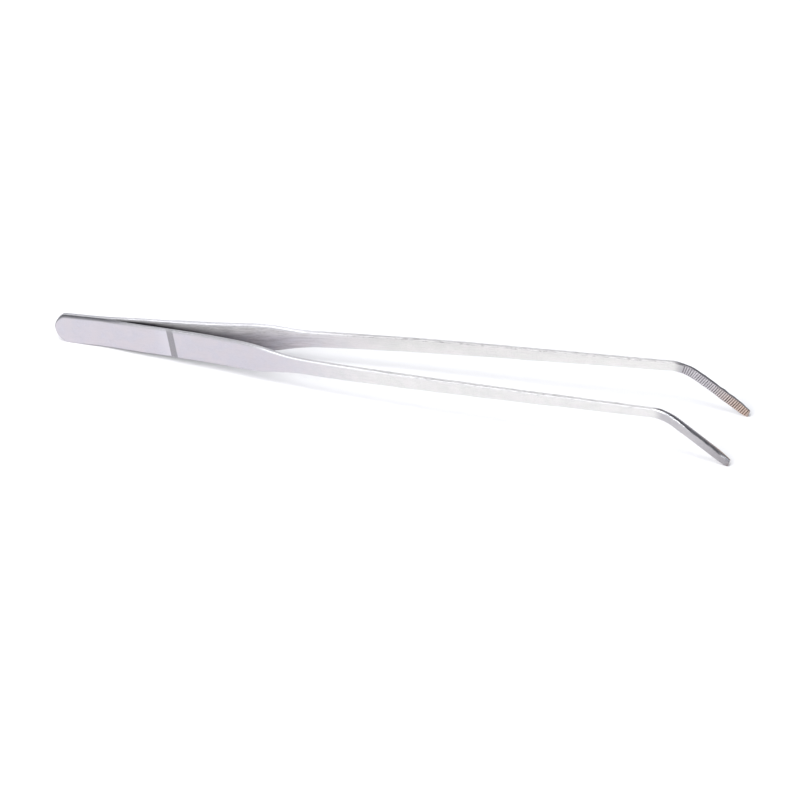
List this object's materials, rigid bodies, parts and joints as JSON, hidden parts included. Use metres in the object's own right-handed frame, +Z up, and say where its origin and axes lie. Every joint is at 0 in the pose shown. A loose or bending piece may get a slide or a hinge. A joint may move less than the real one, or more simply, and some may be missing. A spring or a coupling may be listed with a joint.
{
  "type": "aquascaping tweezers",
  "caption": "Long steel aquascaping tweezers: two spring strips joined at a flat heel, slender bowed arms and down-bent serrated tips for planting and trimming in a tank.",
  "frame": {"origin": "middle of the bounding box in X and Y, on the surface the tweezers stand on", "axes": "+X from the heel to the tips, +Y towards the left arm, +Z up; the tips bend down, and the arms open along Y"},
  "size_m": [0.2694, 0.0332, 0.0203],
  "materials": {
    "heel_steel": "satin stainless steel, lengthwise grain",
    "arm_steel": "satin stainless steel, hand-ground edges, faint bronze heat tint at the tips",
    "weld_steel": "fused steel"
  },
  "bodies": {
    "heel": {"left_heel_leaf": "heel_steel", "right_heel_leaf": "heel_steel", "heel_spot_welds": "weld_steel"},
    "left_arm": {"left_arm": "arm_steel"},
    "right_arm": {"right_arm": "arm_steel"}
  },
  "joints": [
    {"name": "left_arm_flex", "type": "hinge", "parent": "heel", "child": "left_arm", "pos_m": [-0.10173, 0.00185, 0.00757], "axis": [0.0523, 0, -0.9986], "range_deg": [-1.5, 3.64], "stiffness_Nm_per_rad": 5},
    {"name": "right_arm_flex", "type": "hinge", "parent": "heel", "child": "right_arm", "pos_m": [-0.10173, -0.00185, 0.00757], "axis": [-0.0523, 0, 0.9986], "range_deg": [-1.5, 3.64], "stiffness_Nm_per_rad": 5}
  ]
}
